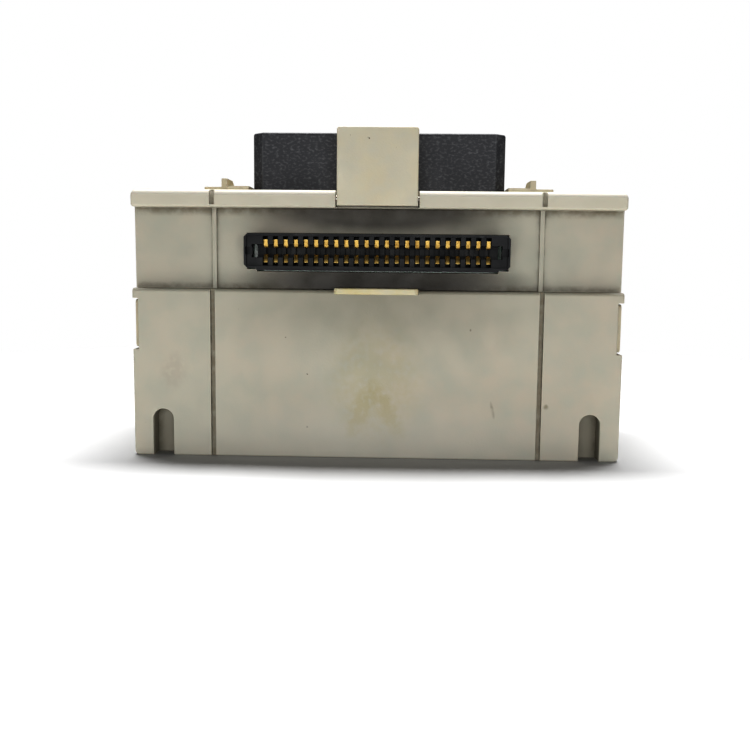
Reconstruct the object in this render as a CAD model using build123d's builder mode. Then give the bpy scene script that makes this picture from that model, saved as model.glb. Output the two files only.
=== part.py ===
from build123d import *
import os

os.makedirs("parts", exist_ok=True)

# Case. X runs along it, -Y is its front, Z is up from the face it rests on. Millimetres.
case_width = 125.0
case_depth = 58.0
case_height = 68.3
wall = 2.2
front_wall = 2.4
rear_wall = 3.6  # thick enough for the rear cover's rebate
parting_height = 43.3  # the upper shell sits on the lower one here
catch_reach = 4.0  # how far the catch plate stands out of the front
side = case_width / 2
front = (catch_reach - case_depth) / 2
rear = (catch_reach + case_depth) / 2
recess_face = front + 4.2  # the connector band is set back between the lip and the lower box
lip_bottom = 63.8
lip_top_radius = 1.6
lip_bottom_radius = 0.7
box_top_radius = 1.0
edge_radius = 0.5
base_corner_radius = 1.2

# Witness grooves down the front, which stand out as ribs in the recess.
groove_x = 41.85
groove_width = 1.15
groove_depth = 1.0
rib_height = 0.7
lip_groove_height = 3.8

# Arched notches at the lower corners, which take a base's hooks.
notch_x = 54.9
notch_width = 5.3
notch_height = 12.2
notch_depth = 5.4
notch_wall = 1.8

# Side windows and the release arms in them.
window_bottom = 27.6
window_top = 40.7
window_depth = 1.45  # how far the window cuts in from the side
pocket_floor = 58.0
pocket_wall = 1.4
pocket_start = front + 2.6
pocket_end = front + 24.6
arm_gap = 0.4
arm_thickness = 1.4
arm_front = front + 3.0
arm_rear = front + 24.0
arm_pivot_x = 60.4
arm_pivot_y = front + 20.0
arm_hub_radius = 1.7
arm_corner = 1.0
grip_count = 5
grip_pitch = 1.5
grip_width = 0.7
grip_depth = 0.35
grip_start = arm_front + 1.6
grip_margin = 2.0
arm_slot_y = (front + 12.5, front + 16.5)
arm_slot_z = (31.5, 36.8)
release_pin_radius = 0.75
release_pin_margin = 1.2
release_spring_radius = 1.7
release_spring_wire = 0.2
release_spring_pitch = 0.85
running_gap = 0.05
bore_gap = 0.02

# Front edge connector: two rows of contacts at a tenth-inch pitch.
contact_pitch = 2.54
contact_count = 23
contact_width = 1.05
contact_thickness = 0.25
mouth_front = front - 2.6
mouth_length = 4.1
mouth_width = 66.6
mouth_height = 8.7
mouth_centre = 52.97
mouth_rim = 0.6
rim_depth = 0.7
body_width = 61.6
body_height = 9.1
body_drop = 0.32  # the stepped body sits lower than the mouth
cavity_width = 1.35
cavity_height = 7.3
cavity_depth = 8.2
card_slot_width = 62.8
card_slot_height = 3.3
card_slot_depth = 7.0
end_notch_width = 65.8
end_notch_height = 1.9
end_notch_depth = 2.2
window_clearance = 0.5
contact_lane = 2.4  # height of a contact's tail above or below the slot
lane_clearance = 0.1
contact_tail = 1.2  # how far the tails come out behind the main board

# Main board: stands behind the front, and its top edge is the outgoing plug.
board_front = front + 10.6
board_thickness = 1.6
board_rear = board_front + board_thickness
board_middle = board_front + board_thickness / 2
board_width = 112.0
board_bottom = 8.0
board_top = 65.0
tongue_width = 62.6
tongue_top = 79.3
finger_width = 1.5
finger_bottom = 70.6
finger_top = 78.4
finger_thickness = 0.06
board_screw_x = 50.0
board_screw_heights = (18.0, 60.0)
board_hole_radius = 1.25
tail_hole_radius = 0.62
post_radius = 2.5
pilot_radius = 1.0
plug_clearance_x = 0.3
plug_clearance_y = 0.4

# Cap over the outgoing plug.
cap_width = 65.2
cap_thickness = 8.4
cap_bottom = 68.6
cap_top = 83.25
cap_corner = 2.6
cap_top_radius = 0.6
cap_slot_gap = 0.25

# Guide frame beside and behind the cap, open to the front.
frame_width = 88.8
frame_front = front + 3.6
frame_rear = front + 18.4
frame_thickness = 0.8
frame_inner_thickness = 1.15
frame_corner = 0.6
frame_window_half = cap_width / 2 + 0.4
frame_window_front = frame_front - 1.0
frame_window_rear = front + 16.0
fin_x = 39.2
fin_thickness = 1.5
fin_top = 71.25
fin_flat_end = front + 11.2
fin_slope_end = front + 16.3

# Latch tab on the lip.
tab_width = 20.4
tab_front = front - 0.9
tab_thickness = 1.8
tab_bottom = 64.4
tab_top = 83.7
tab_hub_radius = 1.6
tab_pivot_y = front + 1.2
tab_pivot_z = 66.2
tab_notch_bottom = 64.0
tab_notch_depth = 3.2
tab_side_gap = 0.3
tab_top_radius = 0.7
tab_edge_radius = 0.35
hook_reach = 1.3
hook_slope_top = tab_top - 2.2
hook_bottom = tab_top - 3.9
tab_rib_x = (6.0, 7.0)
tab_rib_y = (front + 0.5, front + 1.9)
tab_rib_z = (69.0, 77.5)
latch_pin_radius = 0.7
latch_pin_length = 28.0
spring_gap = 5.2
spring_gap_front = front - 0.15
leg_slot_half = 2.0
leg_slot_z = (64.9, 65.42)  # way through the case for the spring's long leg

# Catch plate under the front connector.
catch_width = 21.2
catch_bottom = 42.3
catch_top = 43.9
catch_corner = 1.2
catch_edge_radius = 0.4
catch_gap = 0.1
catch_foot = 2.0

# Screws.
case_screw_places = ((-45.0, front + 7.0), (45.0, front + 7.0), (-38.0, rear - 7.5), (38.0, rear - 7.5))
case_screw_seat = 34.0
case_boss_radius = 3.3
case_head_bore = 2.4
case_shank_bore = 1.5
case_thread_bore = 1.25
case_thread_boss = 2.6
case_boss_top = 60.0
cover_screw_x = 52.5
cover_screw_heights = (12.0, 56.0)

# Rear cover.
cover_width = 112.0
cover_bottom = 4.5
cover_top = 62.5
cover_thickness = 1.6
cover_gap = 0.2
cover_corner = 1.5
cover_hole_radius = 1.2
cover_seat_radius = 2.15
cover_seat_depth = 1.2
cover_boss_radius = 2.6
cover_boss_depth = 9.0
cover_pilot_depth = 8.5
cover_window_half = 49.0
cover_window_bottom = 10.0
cover_window_top = 58.0
vent_width = 2.2
rear_vent_length = 12.0
rear_vent_pitch = (8.0, 18.0)
rear_vent_count = (11, 2)
roof_vent_length = 16.0
roof_vent_pitch = 5.0
roof_vent_count = 8
roof_vent_x = 31.5
roof_vent_y = front + 36.5

# Supply board: lies near the floor behind the main board.
supply_bottom = 10.0
supply_thickness = 1.6
supply_top = supply_bottom + supply_thickness
supply_width = 96.0
supply_front = front + 15.5
supply_rear = rear - 12.5
supply_post_x = 43.0
supply_posts_y = (supply_front + 4.5, supply_rear - 4.5)
supply_post_radius = 2.6


def front_facing(y, z=0.0):
    # a sketch plane that looks out of the front, so extruding by a negative amount goes inwards
    return Plane(origin=(0, y, z), x_dir=(1, 0, 0), z_dir=(0, -1, 0))


def box_between(low, high, mode=Mode.ADD):
    # a box from its lowest corner to its highest one
    with Locations(tuple((a + b) / 2 for a, b in zip(low, high))):
        Box(*(b - a for a, b in zip(low, high)), mode=mode)


def post(radius, bottom, top, places, mode=Mode.ADD):
    # upright round posts or holes at (x, y) places
    with Locations(*((x, y, bottom) for x, y in places)):
        Cylinder(radius, top - bottom, align=(Align.CENTER, Align.CENTER, Align.MIN), mode=mode)


def rod(radius, start, length, places, mode=Mode.ADD):
    # round rods or holes along +Y from depth start, at (x, z) places
    with Locations(*(Location((x, start, z), (-90, 0, 0)) for x, z in places)):
        Cylinder(radius, length, align=(Align.CENTER, Align.CENTER, Align.MIN), mode=mode)


def both_sides(x, others):
    return [(sign * x, other) for other in others for sign in (-1, 1)]


# ---- Lower case: open-topped box with the base notches and the release arm pockets ----
with BuildPart() as lower_case:
    box_between((-side, front, 0), (side, rear, parting_height))
    fillet(lower_case.edges().filter_by(Axis.Y).group_by(Axis.Z)[0], base_corner_radius)
    fillet(lower_case.edges().filter_by(Axis.X).group_by(Axis.Z)[-1].sort_by(Axis.Y)[0], box_top_radius)
    fillet(lower_case.faces().sort_by(Axis.Y)[0].edges(), edge_radius)
    box_between(
        (-side + wall, front + front_wall, wall),
        (side - wall, rear - rear_wall, parting_height),
        Mode.SUBTRACT,
    )
    # shelf along the front that carries the upper shell's front wall
    box_between(
        (-side + wall, front + front_wall, parting_height - wall),
        (side - wall, recess_face + wall, parting_height),
    )
    for sign in (-1, 1):
        # block that the arched notch is cut into
        block_x = sorted((sign * (notch_x - notch_width / 2 - notch_wall), sign * (side - wall)))
        box_between(
            (block_x[0], front + front_wall, wall),
            (block_x[1], front + notch_depth + notch_wall, notch_height + notch_wall),
        )
        # walls of the release arm's pocket
        pocket_x = sorted((sign * (pocket_floor - pocket_wall), sign * (side - wall)))
        box_between(
            (pocket_x[0], front + front_wall, window_bottom - pocket_wall),
            (pocket_x[1], pocket_end + pocket_wall, window_top + pocket_wall),
        )
        pocket_x = sorted((sign * pocket_floor, sign * side))
        box_between(
            (pocket_x[0], pocket_start, window_bottom),
            (pocket_x[1], pocket_end, window_top),
            Mode.SUBTRACT,
        )
        window_x = sorted((sign * (side - window_depth), sign * side))
        box_between(
            (window_x[0], front, window_bottom),
            (window_x[1], pocket_start, window_top),
            Mode.SUBTRACT,
        )
    # arched notches, open at the bottom
    with BuildSketch(front_facing(front)):
        with Locations(*both_sides(notch_x, (notch_height / 2 - notch_width / 4,))):
            Rectangle(notch_width, notch_height - notch_width / 2)
        with Locations(*both_sides(notch_x, (notch_height - notch_width / 2,))):
            Circle(notch_width / 2)
    extrude(amount=-notch_depth, mode=Mode.SUBTRACT)
    # witness grooves
    with BuildSketch(front_facing(front)):
        with Locations(*both_sides(groove_x, (parting_height / 2,))):
            Rectangle(groove_width, parting_height)
    extrude(amount=-groove_depth, mode=Mode.SUBTRACT)
    # case screw bosses, bored from below to the screws' seats
    post(case_boss_radius, wall, parting_height, case_screw_places)
    post(case_head_bore, 0, case_screw_seat, case_screw_places, Mode.SUBTRACT)
    post(case_shank_bore, case_screw_seat, parting_height, case_screw_places, Mode.SUBTRACT)
    # posts for the main board and the supply board
    low_posts = both_sides(board_screw_x, board_screw_heights[:1])
    rod(post_radius, front + front_wall, board_front - front - front_wall, low_posts)
    rod(pilot_radius, front + 4, board_front - front - 4, low_posts, Mode.SUBTRACT)
    supply_posts = both_sides(supply_post_x, supply_posts_y)
    post(supply_post_radius, wall, supply_bottom, supply_posts)
    post(pilot_radius, wall + 1, supply_bottom, supply_posts, Mode.SUBTRACT)
    # release pin holes through the pocket's floor and roof
    post(
        release_pin_radius + bore_gap,
        window_bottom - pocket_wall,
        window_top + pocket_wall,
        both_sides(arm_pivot_x, (arm_pivot_y,)),
        Mode.SUBTRACT,
    )
    # rebate, opening and bosses of the rear cover
    low_cover_bosses = both_sides(cover_screw_x, cover_screw_heights[:1])
    rod(cover_boss_radius, rear - cover_boss_depth, cover_boss_depth - rear_wall, low_cover_bosses)
    box_between(
        (-cover_width / 2 - cover_gap, rear - cover_thickness, cover_bottom - cover_gap),
        (cover_width / 2 + cover_gap, rear, parting_height),
        Mode.SUBTRACT,
    )
    box_between(
        (-cover_window_half, rear - rear_wall, cover_window_bottom),
        (cover_window_half, rear, parting_height),
        Mode.SUBTRACT,
    )
    rod(pilot_radius, rear - cover_pilot_depth, cover_pilot_depth, low_cover_bosses, Mode.SUBTRACT)
    # pocket that the catch plate is clamped in
    box_between(
        (-catch_width / 2 - catch_gap, front, catch_bottom),
        (catch_width / 2 + catch_gap, recess_face + wall, parting_height),
        Mode.SUBTRACT,
    )
lower_case.part.label = "lower_case"
export_step(lower_case.part, "parts/lower_case.step")

# ---- Upper case: lip, set-back connector band and roof, open below ----
with BuildPart() as upper_case:
    box_between((-side, recess_face, parting_height), (side, rear, case_height))
    box_between((-side, front, lip_bottom), (side, recess_face + wall, case_height))
    fillet(upper_case.edges().filter_by(Axis.Z).group_by(Axis.Y)[0], edge_radius)
    fillet(upper_case.faces().sort_by(Axis.Z)[-1].edges(), lip_top_radius)
    fillet(upper_case.edges().filter_by(Axis.X).group_by(Axis.Y)[0].sort_by(Axis.Z)[0], lip_bottom_radius)
    # hollow, which leaves the lip a solid bar
    box_between(
        (-side + wall, recess_face + wall, parting_height),
        (side - wall, rear - rear_wall, case_height - wall),
        Mode.SUBTRACT,
    )
    # witness grooves in the lip, which stop short of its lower edge, and the ribs below them
    with BuildSketch(front_facing(front)):
        with Locations(*both_sides(groove_x, (case_height - lip_groove_height / 2,))):
            Rectangle(groove_width, lip_groove_height)
    extrude(amount=-groove_depth, mode=Mode.SUBTRACT)
    with BuildSketch(front_facing(recess_face)):
        with Locations(*both_sides(groove_x, ((parting_height + lip_bottom) / 2,))):
            Rectangle(groove_width, lip_bottom - parting_height)
    extrude(amount=rib_height)
    # case screw bosses and main board posts
    post(case_thread_boss, parting_height, case_height - wall, case_screw_places)
    post(case_thread_bore, parting_height, case_boss_top, case_screw_places, Mode.SUBTRACT)
    high_posts = both_sides(board_screw_x, board_screw_heights[1:])
    rod(post_radius, recess_face + wall, board_front - recess_face - wall, high_posts)
    rod(pilot_radius, recess_face + 1, board_front - recess_face - 1, high_posts, Mode.SUBTRACT)
    # window for the front connector
    with BuildSketch(front_facing(recess_face, mouth_centre)):
        Rectangle(mouth_width + window_clearance, mouth_height + window_clearance)
        with Locations((0, -body_drop)):
            Rectangle(body_width + window_clearance, body_height + window_clearance)
    extrude(amount=-wall, mode=Mode.SUBTRACT)
    # slot that the outgoing plug comes up through
    box_between(
        (-tongue_width / 2 - plug_clearance_x, board_front - plug_clearance_y, case_height - wall),
        (tongue_width / 2 + plug_clearance_x, board_rear + plug_clearance_y, case_height),
        Mode.SUBTRACT,
    )
    # vent slots through the roof
    with BuildSketch(Plane.XY.offset(case_height)):
        with Locations(*both_sides(roof_vent_x, (roof_vent_y,))):
            with GridLocations(roof_vent_pitch, 1, roof_vent_count, 1):
                SlotOverall(roof_vent_length, vent_width, rotation=90)
    extrude(amount=-wall, mode=Mode.SUBTRACT)
    # notch for the latch tab, with holes for its pin and a way in for its spring's leg
    box_between(
        (-tab_width / 2 - tab_side_gap, front, tab_notch_bottom),
        (tab_width / 2 + tab_side_gap, front + tab_notch_depth, case_height),
        Mode.SUBTRACT,
    )
    box_between(
        (-leg_slot_half, front, leg_slot_z[0]),
        (leg_slot_half, recess_face + wall, leg_slot_z[1]),
        Mode.SUBTRACT,
    )
    with Locations(Location((-latch_pin_length / 2, tab_pivot_y, tab_pivot_z), (0, 90, 0))):
        Cylinder(
            latch_pin_radius + bore_gap,
            latch_pin_length,
            align=(Align.CENTER, Align.CENTER, Align.MIN),
            mode=Mode.SUBTRACT,
        )
    # rebate, opening and bosses of the rear cover
    high_cover_bosses = both_sides(cover_screw_x, cover_screw_heights[1:])
    rod(cover_boss_radius, rear - cover_boss_depth, cover_boss_depth - rear_wall, high_cover_bosses)
    box_between(
        (-cover_width / 2 - cover_gap, rear - cover_thickness, parting_height),
        (cover_width / 2 + cover_gap, rear, cover_top + cover_gap),
        Mode.SUBTRACT,
    )
    box_between(
        (-cover_window_half, rear - rear_wall, parting_height),
        (cover_window_half, rear, cover_window_top),
        Mode.SUBTRACT,
    )
    rod(pilot_radius, rear - cover_pilot_depth, cover_pilot_depth, high_cover_bosses, Mode.SUBTRACT)
upper_case.part.label = "upper_case"
export_step(upper_case.part, "parts/upper_case.step")

# ---- Rear cover: a flat plate with two rows of vent slots ----
with BuildPart() as rear_cover:
    box_between((-cover_width / 2, rear - cover_thickness, cover_bottom), (cover_width / 2, rear, cover_top))
    fillet(rear_cover.edges().filter_by(Axis.Y), cover_corner)
    with BuildSketch(front_facing(rear, (cover_bottom + cover_top) / 2)):
        with GridLocations(*rear_vent_pitch, *rear_vent_count):
            SlotOverall(rear_vent_length, vent_width, rotation=90)
    extrude(amount=cover_thickness, mode=Mode.SUBTRACT)
    cover_screw_places = both_sides(cover_screw_x, cover_screw_heights)
    rod(cover_hole_radius, rear - cover_thickness, cover_thickness, cover_screw_places, Mode.SUBTRACT)
    rod(cover_seat_radius, rear - cover_seat_depth, cover_seat_depth, cover_screw_places, Mode.SUBTRACT)
rear_cover.part.label = "rear_cover"
export_step(rear_cover.part, "parts/rear_cover.step")


def screw(head_radius, head_height, shank_radius, shank_length):
    # cheese-head screw with a cross recess, its seat at the origin and its shank pointing down
    reach = head_radius * 0.6
    half = 0.22
    floor = head_height * 0.4
    with BuildPart() as made:
        Cylinder(head_radius, head_height, align=(Align.CENTER, Align.CENTER, Align.MIN))
        fillet(made.edges().group_by(Axis.Z)[-1], head_height * 0.35)
        box_between((-reach, -half, floor), (reach, half, head_height), Mode.SUBTRACT)
        box_between((-half, -reach, floor), (half, reach, head_height), Mode.SUBTRACT)
        Cylinder(shank_radius, shank_length, align=(Align.CENTER, Align.CENTER, Align.MAX))
        chamfer(made.edges().group_by(Axis.Z)[0], shank_radius * 0.4)
    return made.part


# ---- Screws: one node for each set of identical ones ----
case_screw = screw(head_radius=2.2, head_height=1.6, shank_radius=1.2, shank_length=18.0)
cover_screw = screw(head_radius=2.0, head_height=1.2, shank_radius=0.95, shank_length=7.0)
board_screw = screw(head_radius=2.0, head_height=1.3, shank_radius=0.95, shank_length=6.0)
with BuildPart() as case_screws:
    with Locations(*(Location((x, y, case_screw_seat), (180, 0, 0)) for x, y in case_screw_places)):
        add(case_screw)
case_screws.part.label = "case_screws"
export_step(case_screws.part, "parts/case_screws.step")

with BuildPart() as rear_cover_screws:
    with Locations(*(Location((x, rear - cover_seat_depth, z), (-90, 0, 0)) for x, z in cover_screw_places)):
        add(cover_screw)
rear_cover_screws.part.label = "rear_cover_screws"
export_step(rear_cover_screws.part, "parts/rear_cover_screws.step")

with BuildPart() as main_board_screws:
    with Locations(*(Location((x, board_rear, z), (-90, 0, 0)) for x, z in low_posts + high_posts)):
        add(board_screw)
main_board_screws.part.label = "main_board_screws"
export_step(main_board_screws.part, "parts/main_board_screws.step")

with BuildPart() as supply_board_screws:
    with Locations(*((x, y, supply_top) for x, y in supply_posts)):
        add(board_screw)
supply_board_screws.part.label = "supply_board_screws"
export_step(supply_board_screws.part, "parts/supply_board_screws.step")

# ---- Guide frame: low plates either side of the plug, each with a sloping fin ----
with BuildPart() as guide_frame:
    inner_half = fin_x - fin_thickness / 2
    plate_top = case_height + frame_thickness
    inner_top = case_height + frame_inner_thickness
    box_between((-frame_width / 2, frame_front, case_height), (frame_width / 2, frame_rear, plate_top))
    box_between((-inner_half, frame_front + 1.0, case_height), (inner_half, frame_rear, inner_top))
    fillet(guide_frame.edges().filter_by(Axis.Z).group_by(Axis.Y)[0], frame_corner)
    box_between(
        (-frame_window_half, frame_window_front, case_height),
        (frame_window_half, frame_window_rear, inner_top),
        Mode.SUBTRACT,
    )
    for sign in (-1, 1):
        with BuildSketch(Plane.YZ.offset(sign * fin_x)):
            with BuildLine():
                Polyline(
                    (frame_front, case_height),
                    (frame_front, fin_top),
                    (fin_flat_end, fin_top),
                    (fin_slope_end, plate_top),
                    (fin_slope_end, case_height),
                    close=True,
                )
            make_face()
        extrude(amount=fin_thickness / 2, both=True)
guide_frame.part.label = "guide_frame"
export_step(guide_frame.part, "parts/guide_frame.step")

# ---- Latch tab: flat plate with a hooked back, hinged at its foot ----
with BuildPart() as latch_tab:
    tab_back = tab_front + tab_thickness
    with BuildSketch(Plane.YZ):
        with BuildLine():
            Polyline(
                (tab_front, tab_bottom),
                (tab_front, tab_top),
                (tab_back, tab_top),
                (tab_back, hook_slope_top),
                (tab_back + hook_reach, hook_bottom),
                (tab_back, hook_bottom),
                (tab_back, tab_bottom),
                close=True,
            )
        make_face()
        with Locations((tab_pivot_y, tab_pivot_z)):
            Circle(tab_hub_radius)
    extrude(amount=tab_width / 2, both=True)
    fillet(latch_tab.edges().filter_by(Axis.Y).group_by(Axis.Z)[-1], tab_top_radius)
    fillet(latch_tab.faces().sort_by(Axis.Y)[0].edges(), tab_edge_radius)
    # stiffening ribs up the back
    for sign in (-1, 1):
        rib_x = sorted(sign * x for x in tab_rib_x)
        box_between((rib_x[0], tab_rib_y[0], tab_rib_z[0]), (rib_x[1], tab_rib_y[1], tab_rib_z[1]))
    # pin bore, and the gap that the spring's coil sits in
    with Locations((0, tab_pivot_y, tab_pivot_z)):
        Cylinder(latch_pin_radius + running_gap, tab_width, rotation=(0, 90, 0), mode=Mode.SUBTRACT)
    box_between(
        (-spring_gap / 2, spring_gap_front, tab_bottom),
        (spring_gap / 2, front + tab_notch_depth, case_height),
        Mode.SUBTRACT,
    )
latch_tab.part.label = "latch_tab"
export_step(latch_tab.part, "parts/latch_tab.step")

with BuildPart() as latch_pin:
    with Locations((0, tab_pivot_y, tab_pivot_z)):
        Cylinder(latch_pin_radius, latch_pin_length, rotation=(0, 90, 0))
latch_pin.part.label = "latch_pin"
export_step(latch_pin.part, "parts/latch_pin.step")

# ---- Latch spring: a coil round the pin, one leg behind the tab's foot, one back into the case ----
spring_wire = 0.2
coil_radius = 1.02
coil_turns = 6
coil_pitch = 0.42
coil_half = coil_turns * coil_pitch / 2
back_leg = 6.0
tab_leg = 0.8
with BuildPart() as latch_spring:
    with BuildLine() as coil_line:
        coil = Helix(
            coil_pitch,
            2 * coil_half,
            coil_radius,
            center=(coil_half, tab_pivot_y, tab_pivot_z),
            direction=(-1, 0, 0),
        )
        Line(coil @ 0 - back_leg * (coil % 0), coil @ 0)
        Line(coil @ 1, coil @ 1 + tab_leg * (coil % 1))
    coil_wire = coil_line.wire()
    with BuildSketch(Plane(origin=coil_wire @ 0, z_dir=coil_wire % 0)):
        Circle(spring_wire)
    sweep(path=coil_wire)
latch_spring.part.label = "latch_spring"
export_step(latch_spring.part, "parts/latch_spring.step")

# ---- Catch plate: lip under the connector, its foot clamped between the shells ----
with BuildPart() as catch_plate:
    catch_rear = recess_face - catch_gap
    box_between(
        (-catch_width / 2, front - catch_reach, catch_bottom),
        (catch_width / 2, catch_rear, catch_top),
    )
    fillet(catch_plate.edges().filter_by(Axis.Z).group_by(Axis.Y)[0], catch_corner)
    fillet(catch_plate.faces().sort_by(Axis.Y)[0].edges(), catch_edge_radius)
    box_between(
        (-catch_width / 2, catch_rear - catch_gap, catch_bottom),
        (catch_width / 2, recess_face + catch_foot, parting_height),
    )
catch_plate.part.label = "catch_plate"
export_step(catch_plate.part, "parts/catch_plate.step")

# ---- Release arms: levers in the side pockets, pressed in at their front ends ----
for sign, name in ((-1, "left"), (1, "right")):
    with BuildPart() as release_arm:
        arm_x = sorted((sign * side, sign * (side - arm_thickness)))
        box_between(
            (arm_x[0], arm_front, window_bottom + arm_gap),
            (arm_x[1], arm_rear, window_top - arm_gap),
        )
        fillet(release_arm.edges().filter_by(Axis.X), arm_corner)
        post(
            arm_hub_radius,
            window_bottom + arm_gap,
            window_top - arm_gap,
            ((sign * arm_pivot_x, arm_pivot_y),),
        )
        # grip grooves, the neighbour's catch slot and the pin bore
        groove_at = sorted((sign * (side - grip_depth), sign * side))
        for step in range(grip_count):
            groove_y = grip_start + grip_pitch * step
            box_between(
                (groove_at[0], groove_y, window_bottom + grip_margin),
                (groove_at[1], groove_y + grip_width, window_top - grip_margin),
                Mode.SUBTRACT,
            )
        box_between(
            (arm_x[0], arm_slot_y[0], arm_slot_z[0]),
            (arm_x[1], arm_slot_y[1], arm_slot_z[1]),
            Mode.SUBTRACT,
        )
        post(
            release_pin_radius + running_gap,
            0,
            window_top,
            ((sign * arm_pivot_x, arm_pivot_y),),
            Mode.SUBTRACT,
        )
    release_arm.part.label = f"{name}_release_arm"
    export_step(release_arm.part, f"parts/{name}_release_arm.step")

    with BuildPart() as release_pin:
        post(
            release_pin_radius,
            window_bottom - release_pin_margin,
            window_top + release_pin_margin,
            ((sign * arm_pivot_x, arm_pivot_y),),
        )
    release_pin.part.label = f"{name}_release_pin"
    export_step(release_pin.part, f"parts/{name}_release_pin.step")

    with BuildPart() as release_spring:
        spring_start = sign * (pocket_floor + 0.25)
        with BuildLine() as spring_line:
            Helix(
                release_spring_pitch,
                side - arm_thickness - pocket_floor - 0.5,
                release_spring_radius,
                center=(spring_start, front + 8.0, (window_bottom + window_top) / 2),
                direction=(sign, 0, 0),
            )
        with BuildSketch(Plane(origin=spring_line.line @ 0, z_dir=spring_line.line % 0)):
            Circle(release_spring_wire)
        sweep(path=spring_line.line)
    release_spring.part.label = f"{name}_release_spring"
    export_step(release_spring.part, f"parts/{name}_release_spring.step")

# ---- Front connector body: mouth, step body, contact cavities and card slot ----
with BuildPart() as front_connector_body:
    with BuildSketch(front_facing(mouth_front, mouth_centre)) as mouth_outline:
        Rectangle(mouth_width, mouth_height)
        chamfer(mouth_outline.vertices().group_by(Axis.Z)[0], 0.9)
        fillet(mouth_outline.vertices().group_by(Axis.Z)[-1], 0.6)
    extrude(amount=-mouth_length)
    with BuildSketch(front_facing(mouth_front + mouth_length, mouth_centre - body_drop)):
        Rectangle(body_width, body_height)
    extrude(amount=-(board_front - mouth_front - mouth_length))
    with BuildSketch(front_facing(mouth_front, mouth_centre)):
        Rectangle(mouth_width - 2 * mouth_rim, mouth_height - 2 * mouth_rim)
    extrude(amount=-rim_depth, mode=Mode.SUBTRACT)
    with BuildSketch(front_facing(mouth_front, mouth_centre)):
        with GridLocations(contact_pitch, 1, contact_count, 1):
            Rectangle(cavity_width, cavity_height)
    extrude(amount=-cavity_depth, mode=Mode.SUBTRACT)
    with BuildSketch(front_facing(mouth_front, mouth_centre)):
        Rectangle(card_slot_width, card_slot_height)
    extrude(amount=-card_slot_depth, mode=Mode.SUBTRACT)
    with BuildSketch(front_facing(mouth_front, mouth_centre)):
        Rectangle(end_notch_width, end_notch_height)
    extrude(amount=-end_notch_depth, mode=Mode.SUBTRACT)
    # lanes for the contacts' tails
    with BuildSketch(front_facing(mouth_front, mouth_centre)):
        with GridLocations(contact_pitch, 2 * contact_lane, contact_count, 2):
            Rectangle(contact_width + lane_clearance, contact_thickness + lane_clearance)
    extrude(amount=-(board_front - mouth_front), mode=Mode.SUBTRACT)
front_connector_body.part.label = "front_connector_body"
export_step(front_connector_body.part, "parts/front_connector_body.step")

# ---- Contacts: bowed strips, one row above the card slot and one below it ----
for lift, name in ((1, "upper_contacts"), (-1, "lower_contacts")):
    with BuildPart() as one_contact:
        with BuildSketch(Plane.YZ):
            with BuildLine() as strip:
                FilletPolyline(
                    (mouth_front + 1.2, mouth_centre + lift * 2.9),
                    (mouth_front + 1.5, mouth_centre + lift * 2.0),
                    (mouth_front + 2.2, mouth_centre + lift * 0.7),
                    (mouth_front + 6.4, mouth_centre + lift * contact_lane),
                    (board_rear + contact_tail, mouth_centre + lift * contact_lane),
                    radius=(0.6, 0.8, 0.8),
                )
            trace(strip.line, contact_thickness)
        extrude(amount=contact_width / 2, both=True)
    with BuildPart() as contact_row:
        with GridLocations(contact_pitch, 1, contact_count, 1):
            add(one_contact.part)
    contact_row.part.label = name
    export_step(contact_row.part, f"parts/{name}.step")

# ---- Main board: drilled for the connector, its top edge narrowed into the outgoing plug ----
with BuildPart() as main_board:
    with BuildSketch(front_facing(board_front)) as board_outline:
        with Locations((0, (board_bottom + board_top) / 2)):
            Rectangle(board_width, board_top - board_bottom)
        with Locations((0, (board_bottom + tongue_top) / 2)):
            Rectangle(tongue_width, tongue_top - board_bottom)
        chamfer(board_outline.vertices().group_by(Axis.Z)[-1], 0.8)
        with Locations((0, mouth_centre)):
            with GridLocations(contact_pitch, 2 * contact_lane, contact_count, 2):
                Circle(tail_hole_radius, mode=Mode.SUBTRACT)
        with Locations(*(low_posts + high_posts)):
            Circle(board_hole_radius, mode=Mode.SUBTRACT)
    extrude(amount=-board_thickness)
main_board.part.label = "main_board"
export_step(main_board.part, "parts/main_board.step")

finger_faces = {"front_edge_fingers": board_front - finger_thickness, "rear_edge_fingers": board_rear}
for name, finger_face in finger_faces.items():
    with BuildPart() as fingers:
        with BuildSketch(front_facing(finger_face, (finger_bottom + finger_top) / 2)):
            with GridLocations(contact_pitch, 1, contact_count, 1):
                RectangleRounded(finger_width, finger_top - finger_bottom, 0.3)
        extrude(amount=-finger_thickness)
    fingers.part.label = name
    export_step(fingers.part, f"parts/{name}.step")

# ---- Connector cap: a block with bevelled ends, slotted from below to slip over the plug ----
with BuildPart() as connector_cap:
    with BuildSketch(Plane.XY.offset(cap_bottom)) as cap_outline:
        with Locations((0, board_middle)):
            Rectangle(cap_width, cap_thickness)
        chamfer(cap_outline.vertices(), cap_corner)
    extrude(amount=cap_top - cap_bottom)
    fillet(connector_cap.faces().sort_by(Axis.Z)[-1].edges(), cap_top_radius)
    box_between(
        (-tongue_width / 2 - plug_clearance_x, board_front - cap_slot_gap, cap_bottom),
        (tongue_width / 2 + plug_clearance_x, board_rear + cap_slot_gap, tongue_top + 0.4),
        Mode.SUBTRACT,
    )
connector_cap.part.label = "connector_cap"
export_step(connector_cap.part, "parts/connector_cap.step")

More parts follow.
